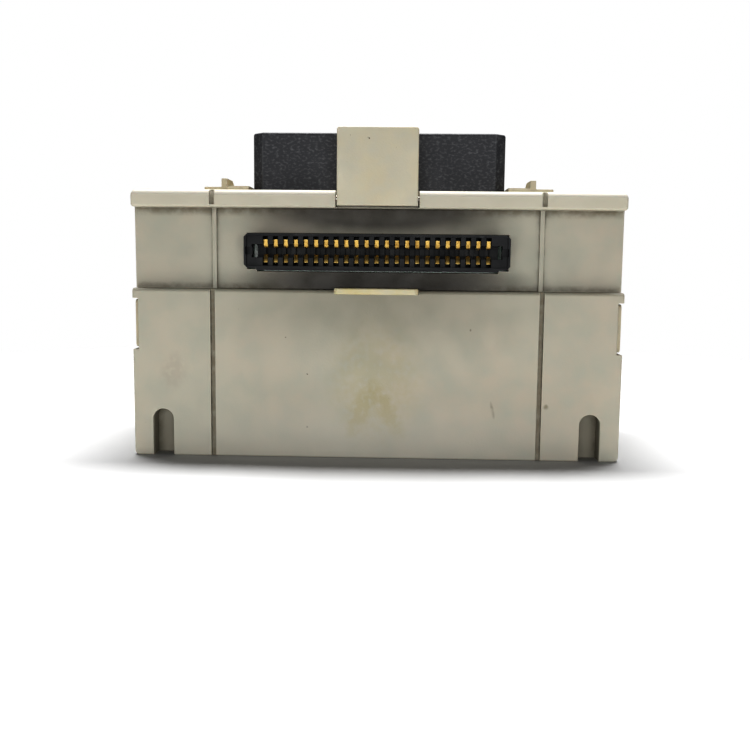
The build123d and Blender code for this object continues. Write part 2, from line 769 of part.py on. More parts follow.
# ---- Bus buffers: wide small-outline packages on the back of the main board ----
buffer_length = 12.8
buffer_width = 7.5
buffer_standoff = 0.15
buffer_top = 2.5
buffer_z = 36.0
buffer_columns = (-39.0, -13.0, 13.0, 39.0)
buffer_places = [(x, buffer_z) for x in buffer_columns]
lead_pitch = 1.27
lead_thickness = 0.2
lead_half_width = 0.21
lead_foot = board_rear + 0.13
lead_shoulder = board_rear + 1.2
with BuildPart() as bus_buffers:
    with BuildSketch(front_facing(board_rear + buffer_standoff)):
        with Locations(*buffer_places):
            Rectangle(buffer_length, buffer_width)
    extrude(amount=buffer_standoff - buffer_top)
    chamfer(bus_buffers.faces().group_by(Axis.Y)[-1].edges(), 0.3)
bus_buffers.part.label = "bus_buffers"
export_step(bus_buffers.part, "parts/bus_buffers.step")

with BuildPart() as bus_buffer_leads:
    for x, z in buffer_places:
        for lift in (-1, 1):
            with BuildSketch(Plane.YZ.offset(x)):
                with BuildLine() as lead_line:
                    Polyline(
                        (lead_foot, z + lift * (buffer_width / 2 + 1.4)),
                        (lead_foot, z + lift * (buffer_width / 2 + 0.7)),
                        (lead_shoulder, z + lift * (buffer_width / 2 + 0.45)),
                        (lead_shoulder, z + lift * buffer_width / 2),
                    )
                trace(lead_line.line, lead_thickness)
            lead_face = bus_buffer_leads.pending_faces.pop()
            with GridLocations(lead_pitch, 1, 10, 1):
                add(extrude(lead_face, amount=lead_half_width, both=True, mode=Mode.PRIVATE))
bus_buffer_leads.part.label = "bus_buffer_leads"
export_step(bus_buffer_leads.part, "parts/bus_buffer_leads.step")

# ---- Resistor networks, decoupling capacitors and crystal on the main board ----
network_columns = (-40.0, -14.0, 14.0, 40.0)
network_z = 44.2
network_length = 22.6
network_height = 4.6
network_depth = 2.2
decoupling_offset = 8.6
decoupling_size = (1.6, 3.2)
decoupling_depth = 1.2
crystal_place = (-4.0, 22.0)
crystal_size = (11.0, 4.6)
crystal_depth = 3.5
with BuildPart() as resistor_networks:
    with BuildSketch(front_facing(board_rear)):
        with Locations(*((x, network_z) for x in network_columns)):
            Rectangle(network_length, network_height)
    extrude(amount=-network_depth)
    fillet(resistor_networks.faces().group_by(Axis.Y)[-1].edges(), 0.5)
resistor_networks.part.label = "resistor_networks"
export_step(resistor_networks.part, "parts/resistor_networks.step")

with BuildPart() as decoupling_capacitors:
    with BuildSketch(front_facing(board_rear)):
        for sign in (-1, 1):
            with Locations(*((x + sign * decoupling_offset, buffer_z) for x in buffer_columns)):
                Rectangle(*decoupling_size)
    extrude(amount=-decoupling_depth)
decoupling_capacitors.part.label = "decoupling_capacitors"
export_step(decoupling_capacitors.part, "parts/decoupling_capacitors.step")

with BuildPart() as crystal:
    with BuildSketch(front_facing(board_rear)):
        with Locations(crystal_place):
            SlotOverall(*crystal_size)
    extrude(amount=-crystal_depth)
    fillet(crystal.faces().sort_by(Axis.Y)[-1].edges(), 0.6)
crystal.part.label = "crystal"
export_step(crystal.part, "parts/crystal.step")

# ---- Controller: square package with leads folded under all four sides ----
controller_size = 16.6
controller_x = -23.0
controller_z = 20.5
controller_standoff = 0.5
controller_top = 4.1
controller_lead = (0.5, 0.4, 2.0)
controller_lead_count = 11
with BuildPart() as controller_chip:
    with BuildSketch(front_facing(board_rear + controller_standoff)) as chip_outline:
        with Locations((controller_x, controller_z)):
            Rectangle(controller_size, controller_size)
        chamfer(chip_outline.vertices().group_by(Axis.Z)[-1].sort_by(Axis.X)[0], 1.2)
    extrude(amount=controller_standoff - controller_top)
    chamfer(controller_chip.faces().sort_by(Axis.Y)[-1].edges(), 0.3)
controller_chip.part.label = "controller_chip"
export_step(controller_chip.part, "parts/controller_chip.step")

with BuildPart() as controller_leads:
    controller_middle = (controller_x, board_rear, controller_z)
    with BuildSketch(Plane(origin=controller_middle, x_dir=(1, 0, 0), z_dir=(0, -1, 0))):
        for quarter in range(4):
            with Locations(Rotation(0, 0, 90 * quarter)):
                with Locations((0, controller_size / 2 + controller_lead[1] / 2)):
                    with GridLocations(lead_pitch, 1, controller_lead_count, 1):
                        Rectangle(controller_lead[0], controller_lead[1])
    extrude(amount=-controller_lead[2])
controller_leads.part.label = "controller_leads"
export_step(controller_leads.part, "parts/controller_leads.step")

# ---- Supply board and what stands on it ----
with BuildPart() as supply_board:
    box_between((-supply_width / 2, supply_front, supply_bottom), (supply_width / 2, supply_rear, supply_top))
    fillet(supply_board.edges().filter_by(Axis.Z), 1.0)
    post(board_hole_radius, supply_bottom, supply_top, supply_posts, Mode.SUBTRACT)
supply_board.part.label = "supply_board"
export_step(supply_board.part, "parts/supply_board.step")

capacitor_radius = 4.0
capacitor_height = 12.5
capacitor_y = 2.0
capacitor_columns = (-34.0, -24.5, -15.0)
with BuildPart() as supply_capacitors:
    with BuildSketch(Plane.XZ):
        with BuildLine():
            Polyline(
                (0, 0),
                (capacitor_radius, 0),
                (capacitor_radius, 1.2),
                (capacitor_radius - 0.35, 1.6),
                (capacitor_radius, 2.0),
                (capacitor_radius, capacitor_height),
                (0, capacitor_height),
                close=True,
            )
        make_face()
    capacitor_half = supply_capacitors.pending_faces.pop()
    with Locations(*((x, capacitor_y, supply_top) for x in capacitor_columns)):
        add(revolve(capacitor_half, axis=Axis.Z, mode=Mode.PRIVATE))
    fillet(supply_capacitors.edges().group_by(Axis.Z)[-1], 0.5)
supply_capacitors.part.label = "supply_capacitors"
export_step(supply_capacitors.part, "parts/supply_capacitors.step")

choke_place = (0.0, 3.0)
core_radius = 6.5
core_thickness = 2.3
winding_radius = 2.75
winding_wire = 0.35
winding_turns = 16
with BuildPart() as choke_core:
    with Locations((*choke_place, supply_top + winding_radius + winding_wire)):
        Torus(core_radius, core_thickness)
choke_core.part.label = "choke_core"
export_step(choke_core.part, "parts/choke_core.step")

with BuildPart() as choke_winding:
    with Locations((*choke_place, supply_top + winding_radius + winding_wire)):
        with PolarLocations(core_radius, winding_turns):
            Torus(winding_radius, winding_wire, rotation=(90, 0, 0))
choke_winding.part.label = "choke_winding"
export_step(choke_winding.part, "parts/choke_winding.step")

regulator_x = 20.0
regulator_y = 9.0
regulator_half = 5.0
regulator_back = regulator_y + 4.4
regulator_tab_front = regulator_y + 3.1
regulator_heights = (15.5, 24.5, 30.5)  # foot and top of its body, top of its tab
regulator_hole_z = 27.7
regulator_hole_radius = 1.8
leg_half = 0.4
leg_y = (regulator_y + 1.8, regulator_y + 2.3)
with BuildPart() as regulator:
    foot, body_top, tab_end = regulator_heights
    box_between(
        (regulator_x - regulator_half, regulator_y, foot),
        (regulator_x + regulator_half, regulator_back, body_top),
    )
    chamfer(regulator.faces().sort_by(Axis.Y)[0].edges(), 0.6)
    box_between(
        (regulator_x - regulator_half, regulator_tab_front, body_top),
        (regulator_x + regulator_half, regulator_back, tab_end),
    )
    tab_depth = regulator_back - regulator_tab_front
    rod(
        regulator_hole_radius,
        regulator_tab_front,
        tab_depth,
        ((regulator_x, regulator_hole_z),),
        Mode.SUBTRACT,
    )
    for step in (-1, 0, 1):
        leg_x = regulator_x + contact_pitch * step
        box_between((leg_x - leg_half, leg_y[0], supply_top), (leg_x + leg_half, leg_y[1], foot))
regulator.part.label = "regulator"
export_step(regulator.part, "parts/regulator.step")

sink_half = 9.0
sink_top = 33.0
sink_base = 1.6
sink_fin_count = 6
sink_fin_thickness = 1.2
sink_fin_pitch = (2 * sink_half - sink_fin_thickness) / (sink_fin_count - 1)
with BuildPart() as heat_sink:
    fins_start = regulator_back + sink_base
    box_between(
        (regulator_x - sink_half, regulator_back, supply_top),
        (regulator_x + sink_half, fins_start, sink_top),
    )
    for step in range(sink_fin_count):
        fin_low = regulator_x - sink_half + step * sink_fin_pitch
        box_between((fin_low, fins_start, supply_top), (fin_low + sink_fin_thickness, supply_rear, sink_top))
heat_sink.part.label = "heat_sink"
export_step(heat_sink.part, "parts/heat_sink.step")

fuse_x = 36.0
fuse_z = supply_top + 4.0
fuse_start = supply_front + 4.0
fuse_length = 20.0
fuse_radius = 2.4
end_cap_radius = 2.6
end_cap_length = 5.0
end_cap_overhang = 0.2
clip_half = 3.0
clip_length = 3.6
clip_floor = 0.4
clip_top = supply_top + 6.4
clip_places = (fuse_start + 0.6, fuse_start + fuse_length - 4.2)
with BuildPart() as fuse:
    rod(fuse_radius, fuse_start, fuse_length, ((fuse_x, fuse_z),))
    far_cap_start = fuse_start + fuse_length + end_cap_overhang - end_cap_length
    for cap_start in (fuse_start - end_cap_overhang, far_cap_start):
        rod(end_cap_radius, cap_start, end_cap_length, ((fuse_x, fuse_z),))
fuse.part.label = "fuse"
export_step(fuse.part, "parts/fuse.step")

with BuildPart() as fuse_clips:
    clip_inner = end_cap_radius + running_gap
    for clip_y in clip_places:
        box_between(
            (fuse_x - clip_half, clip_y, supply_top),
            (fuse_x + clip_half, clip_y + clip_length, clip_top),
        )
        box_between(
            (fuse_x - clip_inner, clip_y, supply_top + clip_floor),
            (fuse_x + clip_inner, clip_y + clip_length, clip_top),
            Mode.SUBTRACT,
        )
fuse_clips.part.label = "fuse_clips"
export_step(fuse_clips.part, "parts/fuse_clips.step")

# ---- Link between the boards: a header on the main board, its pins bent down to the supply board ----
link_x = 20.0
link_count = 10
# each row's height on the main board and its depth on the supply board
link_rows = ((15.0, supply_front + 1.6), (17.54, supply_front + 4.14))
pin_half = 0.32
pin_bore = 2 * pin_half + 0.06
header_half = 13.0
header_depth = 2.6
header_z = (13.6, 18.9)
with BuildPart() as link_header:
    box_between(
        (link_x - header_half, board_rear, header_z[0]),
        (link_x + header_half, board_rear + header_depth, header_z[1]),
    )
    with BuildSketch(front_facing(board_rear)):
        with Locations(*((link_x, pin_z) for pin_z, _ in link_rows)):
            with GridLocations(contact_pitch, 1, link_count, 1):
                Rectangle(pin_bore, pin_bore)
    extrude(amount=-header_depth, mode=Mode.SUBTRACT)
link_header.part.label = "link_header"
export_step(link_header.part, "parts/link_header.step")

with BuildPart() as link_pins:
    for pin_z, pin_y in link_rows:
        for step in range(link_count):
            pin_x = link_x + (step - (link_count - 1) / 2) * contact_pitch
            box_between(
                (pin_x - pin_half, board_rear, pin_z - pin_half),
                (pin_x + pin_half, pin_y + pin_half, pin_z + pin_half),
            )
            box_between(
                (pin_x - pin_half, pin_y - pin_half, supply_top),
                (pin_x + pin_half, pin_y + pin_half, pin_z),
            )
link_pins.part.label = "link_pins"
export_step(link_pins.part, "parts/link_pins.step")
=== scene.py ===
from math import pi, radians

import bmesh
import bpy
from mathutils import Matrix, Vector


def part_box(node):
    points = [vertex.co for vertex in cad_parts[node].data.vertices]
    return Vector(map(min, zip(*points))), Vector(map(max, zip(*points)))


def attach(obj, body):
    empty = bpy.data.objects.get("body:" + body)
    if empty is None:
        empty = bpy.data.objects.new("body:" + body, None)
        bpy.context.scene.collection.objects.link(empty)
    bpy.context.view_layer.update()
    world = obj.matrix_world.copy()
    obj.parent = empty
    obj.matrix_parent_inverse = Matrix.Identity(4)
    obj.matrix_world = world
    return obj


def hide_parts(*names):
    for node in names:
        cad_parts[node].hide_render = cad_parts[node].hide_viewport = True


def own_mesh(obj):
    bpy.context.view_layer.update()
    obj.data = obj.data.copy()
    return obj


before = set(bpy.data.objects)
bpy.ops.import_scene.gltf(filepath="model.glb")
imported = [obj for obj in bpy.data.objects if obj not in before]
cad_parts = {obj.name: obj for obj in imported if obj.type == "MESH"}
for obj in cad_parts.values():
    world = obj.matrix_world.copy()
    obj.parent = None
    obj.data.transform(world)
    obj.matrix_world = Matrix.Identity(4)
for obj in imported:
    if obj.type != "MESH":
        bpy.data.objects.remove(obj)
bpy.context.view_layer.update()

mm = 0.001
scene = bpy.context.scene
caseLow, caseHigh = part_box("lower_case")
caseFront = caseLow.y
partingHeight = caseHigh.z
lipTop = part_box("upper_case")[1].z
bandSetBack = 4.2 * mm  # how far the connector band sits behind the lip
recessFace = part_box("upper_case")[0].y + bandSetBack
mouthLow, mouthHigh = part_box("front_connector_body")
mouthMiddle = (mouthLow.z + mouthHigh.z) / 2
contactPitch = 2.54 * mm
contactCount = 23
print("frame loaded,", len(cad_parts), "pieces")


def linear(hexColour):
    # sRGB hex to the linear colour that a shader takes
    parts = [int(hexColour[i:i + 2], 16) / 255 for i in (1, 3, 5)]
    return [c / 12.92 if c <= 0.04045 else ((c + 0.055) / 1.055) ** 2.4 for c in parts] + [1.0]


def addNode(tree, kind, out=None, inputs=None, **settings):
    # adds a node, sets it up, fills or links its inputs, and hands back the output that is asked for
    node = tree.nodes.new("ShaderNode" + kind)
    for name, value in settings.items():
        setattr(node, name, value)
    for key, value in (inputs or {}).items():
        if isinstance(key, int):
            socket = node.inputs[key]
        else:
            socket = next(s for s in node.inputs if s.enabled and s.name == key)
        if isinstance(value, bpy.types.NodeSocket):
            tree.links.new(value, socket)
        else:
            socket.default_value = value
    outputs = [s for s in node.outputs if s.enabled and out in (None, s.name)]
    return outputs[0] if outputs else node


def newMaterial(name, surface):
    # an empty material, its node tree and its object coordinates; surface fills the shader's own sockets
    material = bpy.data.materials.new(name)
    material.use_nodes = True
    tree = material.node_tree
    tree.nodes.clear()
    shaderOut = addNode(tree, "BsdfPrincipled", inputs=surface)
    addNode(tree, "OutputMaterial", inputs={"Surface": shaderOut})
    return material, tree, shaderOut.node, addNode(tree, "TexCoord", out="Object")


def patches(tree, coords, size, low=0.38, high=0.62, detail=3.0, stretch=None):
    # soft patches about one size across, as a value from 0 to 1; stretch draws them out along an axis
    if stretch:
        coords = addNode(tree, "Mapping", inputs={"Vector": coords, "Scale": stretch})
    noise = addNode(tree, "TexNoise", out="Fac", inputs={
        "Vector": coords, "Scale": 1 / size, "Detail": detail})
    return addNode(tree, "MapRange", inputs={"Value": noise, "From Min": low, "From Max": high})


def connect(tree, shader, **sockets):
    for name, value in sockets.items():
        tree.links.new(value, shader.inputs[name.replace("_", " ")])


def blob(tree, coords, middle, reach, turn=0.0):
    # a soft-edged patch at one place, 1 in its middle and 0 at its reach along X, Y and Z
    placed = addNode(tree, "Mapping", vector_type="TEXTURE", inputs={
        "Vector": coords, "Location": middle, "Rotation": (0, turn, 0), "Scale": reach})
    return addNode(tree, "TexGradient", out="Fac", gradient_type="SPHERICAL", inputs={"Vector": placed})


# Moulded ABS: one even body colour, drifting slightly where it has yellowed, a fine spark-eroded
# surface that breaks up highlights, and grime with painted shade that darkens the corners and grooves.
# grime is the colour of both the dirt and the painted shade in sheltered corners
plasticLooks = {
    "shell": {
        "body": "#CDC9B7", "drift": "#CFC6B3", "cool": "#C6C5B5", "grime": "#5E543C", "speck": "#6F6549",
        "driftSize": 34 * mm, "cloudSize": 7 * mm, "speckSize": 1.5 * mm, "speckFrom": 0.78,
        "grimeAndShadeReach": 2.2 * mm, "grimeAmount": 0.75, "grain": 0.5 * mm, "relief": 0.012 * mm,
        "roughness": (0.42, 0.58)},
    "frame": {
        "body": "#DFD4B8", "drift": "#DFD2B0", "cool": "#D4CCB5", "grime": "#6A5E43", "speck": "#7A6F52",
        "driftSize": 25 * mm, "cloudSize": 5 * mm, "speckSize": 1.2 * mm, "speckFrom": 0.78,
        "grimeAndShadeReach": 1.2 * mm, "grimeAmount": 0.6, "grain": 0.5 * mm, "relief": 0.010 * mm,
        "roughness": (0.42, 0.56)},
    "tab": {
        "body": "#E8E2CC", "drift": "#E4DABD", "cool": "#E1DCC8", "grime": "#6B6045", "speck": "#7A6F52",
        "driftSize": 16 * mm, "cloudSize": 5 * mm, "speckSize": 1.1 * mm, "speckFrom": 0.78,
        "grimeAndShadeReach": 1.0 * mm, "grimeAmount": 0.5, "grain": 0.5 * mm, "relief": 0.012 * mm,
        "roughness": (0.40, 0.55)},
    "catch": {
        "body": "#E8DFBC", "drift": "#E0D3A0", "cool": "#E2DCC2", "grime": "#6E5F38", "speck": "#7A6A40",
        "driftSize": 9 * mm, "cloudSize": 3 * mm, "speckSize": 0.9 * mm, "speckFrom": 0.78,
        "grimeAndShadeReach": 0.8 * mm, "grimeAmount": 0.55, "grain": 0.4 * mm, "relief": 0.008 * mm,
        "roughness": (0.38, 0.5)},
}


# how dirt and painted shade gather on all of these mouldings: the openness at which they start and at which
# they are full
dirtAndShade = {"openness": (0.92, 0.35), "patchSize": 2.6 * mm, "speckSoft": 0.05}


def agedAbs(name, look):
    material, tree, shader, coords = newMaterial(name, {
        "IOR": 1.53, "Subsurface Weight": 0.04, "Subsurface Scale": 0.6 * mm})
    drift = patches(tree, coords, look["driftSize"], low=0.36, high=0.64, detail=2.0)
    colour = addNode(tree, "Mix", data_type="RGBA", inputs={
        "Factor": drift, "A": linear(look["body"]), "B": linear(look["drift"])})
    cloud = patches(tree, coords, look["cloudSize"], low=0.40, high=0.75, detail=5.0)
    colour = addNode(tree, "Mix", data_type="RGBA", inputs={
        "Factor": cloud, "A": colour, "B": linear(look["cool"])})
    speck = patches(tree, coords, look["speckSize"], low=look["speckFrom"],
                    high=look["speckFrom"] + dirtAndShade["speckSoft"], detail=1.0)
    colour = addNode(tree, "Mix", data_type="RGBA", inputs={
        "Factor": speck, "A": colour, "B": linear(look["speck"])})
    # grime and painted shade lie where the surface is sheltered, thicker in some places than in others
    openness = addNode(tree, "AmbientOcclusion", out="AO", samples=8, only_local=True,
                       inputs={"Distance": look["grimeAndShadeReach"]})
    sheltered = addNode(tree, "MapRange", inputs={
        "Value": openness, "From Min": dirtAndShade["openness"][0], "From Max": dirtAndShade["openness"][1],
        "To Max": look["grimeAmount"]})
    patchy = patches(tree, coords, dirtAndShade["patchSize"], low=0.25, high=0.6, detail=4.0)
    grime = addNode(tree, "Math", operation="MULTIPLY", inputs={0: sheltered, 1: patchy})
    colour = addNode(tree, "Mix", data_type="RGBA", inputs={
        "Factor": grime, "A": colour, "B": linear(look["grime"])})
    # the mould's texture, drawn coarser than its real 0.05 mm so that it shows
    texture = patches(tree, coords, look["grain"], low=0.3, high=0.7, detail=4.0)
    normal = addNode(tree, "Bump", inputs={"Height": texture, "Strength": 1.0, "Distance": look["relief"]})
    rough = addNode(tree, "MapRange", inputs={
        "Value": cloud, "To Min": look["roughness"][0], "To Max": look["roughness"][1]})
    connect(tree, shader, Base_Color=colour, Roughness=rough, Normal=normal)
    return material, tree, shader, coords, colour


# The case's front. Places are from its middle line and its floor, and a pair says where a soft edge
# starts and where it is full.
caseMarks = {
    # (x, z, half width, half height, turn in degrees, share, colour)
    "stains": [
        (-3.6 * mm, 12.5 * mm, 3.4 * mm, 9.5 * mm, 22, 0.42, "#BCAF76"),
        (3.0 * mm, 12.5 * mm, 3.0 * mm, 10.0 * mm, -28, 0.42, "#BCAF76"),
        (0.0, 20.0 * mm, 14.0 * mm, 20.0 * mm, 0, 0.28, "#C3B887"),
        (30.0 * mm, 13.0 * mm, 0.5 * mm, 2.6 * mm, -12, 0.55, "#776B4E"),
        (43.6 * mm, 14.0 * mm, 0.8 * mm, 0.9 * mm, 0, 0.60, "#7A6D48"),
        (-17.5 * mm, 8.0 * mm, 0.35 * mm, 0.35 * mm, 0, 0.70, "#554C39"),
        (24.0 * mm, 33.5 * mm, 0.3 * mm, 0.4 * mm, 0, 0.60, "#5F553F"),
        (-52.0 * mm, 22.0 * mm, 4.0 * mm, 6.0 * mm, 15, 0.22, "#A99C8C")],
    "stainDepth": 2 * mm, "stainFull": 0.45, "unevenSize": 1.8 * mm,
    # painted shading, painted shade across the top of the box and painted light along its foot: (x, z, half
    # width, half height, share, colour)
    "paintedShading": [
        (0.0, 41 * mm, 60 * mm, 20 * mm, 0.62, "#8F8A78"),
        (0.0, 2 * mm, 90 * mm, 16 * mm, 0.5, "#E4E0D2")],
    "paintedShadingDepth": 3 * mm,
    # behind the front: the grooves, then the set-back band
    "grooveX": 41.85 * mm, "grooveEdge": (0.66 * mm, 0.2 * mm), "grooveDeep": (0.25 * mm, 0.9 * mm),
    "grooveBack": (1.3 * mm, 1.1 * mm), "grooveShare": (0.35, 0.75), "grooveGrime": "#8A7D62",
    "bandFoot": (-0.1 * mm, 0.0), "bandFace": (-0.6 * mm, -0.2 * mm), "bandBack": (1.0 * mm, 0.4 * mm),
    "bandSide": (-0.3 * mm, -0.5 * mm), "lipHeight": 4.5 * mm, "footReach": 1.7 * mm,
    # the band's dark colour stands for grime and painted shade under the lip and along the foot
    "topReach": 2.2 * mm, "bandShare": 0.75, "bandGrimeAndShade": "#7A6D50",
    # the hook notches at the lower corners
    "notchX": 54.9 * mm, "notchEdge": (2.75 * mm, 2.65 * mm), "notchTop": (12.5 * mm, 12.4 * mm),
    "notchFace": (0.4 * mm, 2.0 * mm), "notchBack": (6.2 * mm, 6.1 * mm), "notchShare": 0.5,
    # the notch colour is painted shade
    "notchShadeColour": "#6A614A",
    # painted shade on the band where neighbouring parts shelter it
    "paintedShade": "#4F462F", "paintedShadeReach": 8 * mm, "paintedShadeOpenness": (0.74, 0.40), "paintedShadeShare": 0.55,
    # painted shadows (x, z, half width, half height, share), under and over the connector
    "paintedShadow": [
        (1 * mm, 45.9 * mm, 44 * mm, 6.4 * mm, 0.93),
        (0.0, 62.4 * mm, 37 * mm, 5.6 * mm, 0.84)],
    "paintedShadowDepth": 3 * mm, "paintedShadowFull": 0.6, "paintedShadowColour": "#2E2718",
    # painted light on the lip and a painted highlight along its top: (soft edge below the lip's top, how it
    # blends, share, colour)
    "paintedLipLight": [
        ((-4.7 * mm, -4.3 * mm), "LINEAR", 0.85, "#E6E0CC"),
        ((-1.9 * mm, -0.7 * mm), "SMOOTHSTEP", 0.9, "#FBF6E8")],
    "lipFace": (3.5 * mm, 0.6 * mm),
}


def within(tree, share, *limits):
    # share where each value is past its full limit, falling to 0 at its start; a limit is
    # (value, the place that its soft edge is measured from, soft edge)
    mask = share
    for value, place, (start, full) in limits:
        part = addNode(tree, "MapRange", inputs={
            "Value": value, "From Min": place + start, "From Max": place + full})
        mask = addNode(tree, "Math", operation="MULTIPLY", inputs={0: mask, 1: part})
    return mask


def shellAbs():
    material, tree, shader, coords, colour = agedAbs("agedMouldedAbs", plasticLooks["shell"])
    marks = caseMarks
    x, y, z = (addNode(tree, "SeparateXYZ", out=axis, inputs={"Vector": coords}) for axis in "XYZ")
    uneven = patches(tree, coords, marks["unevenSize"], low=0.3, high=0.62, detail=4.0)
    # yellow spill marks and scuffs on the box's face
    for markX, markZ, halfWidth, halfHeight, turn, share, markColour in marks["stains"]:
        mark = blob(tree, coords, (markX, caseFront, markZ), (halfWidth, marks["stainDepth"], halfHeight),
                    radians(turn))
        soft = addNode(tree, "Math", operation="MULTIPLY", inputs={0: mark, 1: uneven})
        amount = addNode(tree, "MapRange", inputs={
            "Value": soft, "From Max": marks["stainFull"], "To Max": share})
        colour = addNode(tree, "Mix", data_type="RGBA", inputs={
            "Factor": amount, "A": colour, "B": linear(markColour)})
    # broad painted shading: painted shade across the top of the box, painted light along its foot
    for shadingX, shadingZ, halfWidth, halfHeight, share, paintedColour in marks["paintedShading"]:
        tone = blob(tree, coords, (shadingX, caseFront, shadingZ), (halfWidth, marks["paintedShadingDepth"], halfHeight))
        amount = addNode(tree, "MapRange", interpolation_type="SMOOTHSTEP", inputs={
            "Value": tone, "To Max": share})
        colour = addNode(tree, "Mix", data_type="RGBA", inputs={
            "Factor": amount, "A": colour, "B": linear(paintedColour)})
    # brown dirt at the bottom of the front grooves
    fromMiddle = addNode(tree, "Math", operation="ABSOLUTE", inputs={0: x})
    fromGroove = addNode(tree, "Math", operation="SUBTRACT", inputs={0: fromMiddle, 1: marks["grooveX"]})
    gap = addNode(tree, "Math", operation="ABSOLUTE", inputs={0: fromGroove})
    packed = within(tree, 1.0, (gap, 0.0, marks["grooveEdge"]), (y, caseFront, marks["grooveDeep"]),
                    (y, caseFront, marks["grooveBack"]))
    patchy = addNode(tree, "MapRange", inputs={
        "Value": uneven, "To Min": marks["grooveShare"][0], "To Max": marks["grooveShare"][1]})
    packed = addNode(tree, "Math", operation="MULTIPLY", inputs={0: packed, 1: patchy})
    colour = addNode(tree, "Mix", data_type="RGBA", inputs={
        "Factor": packed, "A": colour, "B": linear(marks["grooveGrime"])})
    # grime and painted shade along the foot and the top of the set-back band, and nowhere else on the case
    bandOnly = within(tree, 1.0, (z, partingHeight, marks["bandFoot"]), (y, recessFace, marks["bandFace"]),
                      (y, recessFace, marks["bandBack"]), (fromMiddle, caseHigh.x, marks["bandSide"]))
    bandTop = lipTop - marks["lipHeight"]
    for edge, reach in ((partingHeight, marks["footReach"]), (bandTop, -marks["topReach"])):
        near = addNode(tree, "MapRange", inputs={
            "Value": z, "From Min": edge + reach, "From Max": edge, "To Max": marks["bandShare"]})
        for mask in (bandOnly, uneven):
            near = addNode(tree, "Math", operation="MULTIPLY", inputs={0: near, 1: mask})
        colour = addNode(tree, "Mix", data_type="RGBA", inputs={
            "Factor": near, "A": colour, "B": linear(marks["bandGrimeAndShade"])})
    # painted shade inside the hook notches
    fromNotch = addNode(tree, "Math", operation="SUBTRACT", inputs={0: fromMiddle, 1: marks["notchX"]})
    gap = addNode(tree, "Math", operation="ABSOLUTE", inputs={0: fromNotch})
    notchShade = within(tree, marks["notchShare"], (gap, 0.0, marks["notchEdge"]), (z, 0.0, marks["notchTop"]),
                   (y, caseFront, marks["notchFace"]), (y, caseFront, marks["notchBack"]))
    colour = addNode(tree, "Mix", data_type="RGBA", inputs={
        "Factor": notchShade, "A": colour, "B": linear(marks["notchShadeColour"])})
    # painted shade where a neighbouring part shelters the band, then painted shadows, darkest under and over
    # the connector
    shade = addNode(tree, "AmbientOcclusion", out="AO", samples=12, inputs={
        "Distance": marks["paintedShadeReach"]})
    paintedShade = addNode(tree, "MapRange", interpolation_type="SMOOTHSTEP", inputs={
        "Value": shade, "From Min": marks["paintedShadeOpenness"][0], "From Max": marks["paintedShadeOpenness"][1],
        "To Max": marks["paintedShadeShare"]})
    paintedShade = addNode(tree, "Math", operation="MULTIPLY", inputs={0: paintedShade, 1: bandOnly})
    colour = addNode(tree, "Mix", data_type="RGBA", inputs={
        "Factor": paintedShade, "A": colour, "B": linear(marks["paintedShade"])})
    # each patch is a painted shadow, cast by the connector or by the lip and tab
    for shadowX, shadowZ, halfWidth, halfHeight, share in marks["paintedShadow"]:
        paintedShadow = blob(tree, coords, (shadowX, recessFace, shadowZ), (halfWidth, marks["paintedShadowDepth"], halfHeight))
        paintedShadow = addNode(tree, "MapRange", interpolation_type="SMOOTHSTEP", inputs={
            "Value": paintedShadow, "From Max": marks["paintedShadowFull"], "To Max": share})
        paintedShadow = addNode(tree, "Math", operation="MULTIPLY", inputs={0: paintedShadow, 1: bandOnly})
        colour = addNode(tree, "Mix", data_type="RGBA", inputs={
            "Factor": paintedShadow, "A": colour, "B": linear(marks["paintedShadowColour"])})
    # painted light makes the lip paler than the box, with a painted highlight along its top, apart from the
    # dirt in its grooves
    atFront = within(tree, 1.0, (y, caseFront, marks["lipFace"]))
    for (start, full), blend, share, paintedColour in marks["paintedLipLight"]:
        onLip = addNode(tree, "MapRange", interpolation_type=blend, inputs={
            "Value": z, "From Min": lipTop + start, "From Max": lipTop + full, "To Max": share})
        onLip = addNode(tree, "Math", operation="MULTIPLY", inputs={0: onLip, 1: atFront})
        onLip = addNode(tree, "Math", operation="SUBTRACT", use_clamp=True, inputs={0: onLip, 1: packed})
        colour = addNode(tree, "Mix", data_type="RGBA", inputs={
            "Factor": onLip, "A": colour, "B": linear(paintedColour)})
    connect(tree, shader, Base_Color=colour)
    return material


# Black glass-filled nylon and black ABS: nearly matte, greyed by dust and fine scuffs.
blackLooks = {
    "connector": {
        "body": "#080B0F", "dust": "#303335", "scuff": "#585A5A", "scuffSize": 1.4 * mm, "scuffFrom": 0.66,
        "scuffSoft": 0.1, "stretch": (0.25, 1, 1), "dustAmount": 0.10, "grain": 0.35 * mm,
        "relief": 0.008 * mm, "roughness": (0.48, 0.62)},
    "cap": {
        "body": "#3A3B40", "dust": "#5C5D60", "scuff": "#808184", "scuffSize": 0.55 * mm, "scuffFrom": 0.50,
        "scuffSoft": 0.3, "stretch": (0.6, 1, 1), "dustAmount": 0.5, "grain": 0.6 * mm, "relief": 0.014 * mm,
        "roughness": (0.45, 0.66)},
    "chip": {
        "body": "#1B1C1D", "dust": "#3A3A38", "scuff": "#5A5A58", "scuffSize": 0.9 * mm, "scuffFrom": 0.72,
        "scuffSoft": 0.1, "stretch": (1, 1, 1), "dustAmount": 0.2, "grain": 0.25 * mm, "relief": 0.006 * mm,
        "roughness": (0.5, 0.62)},
}


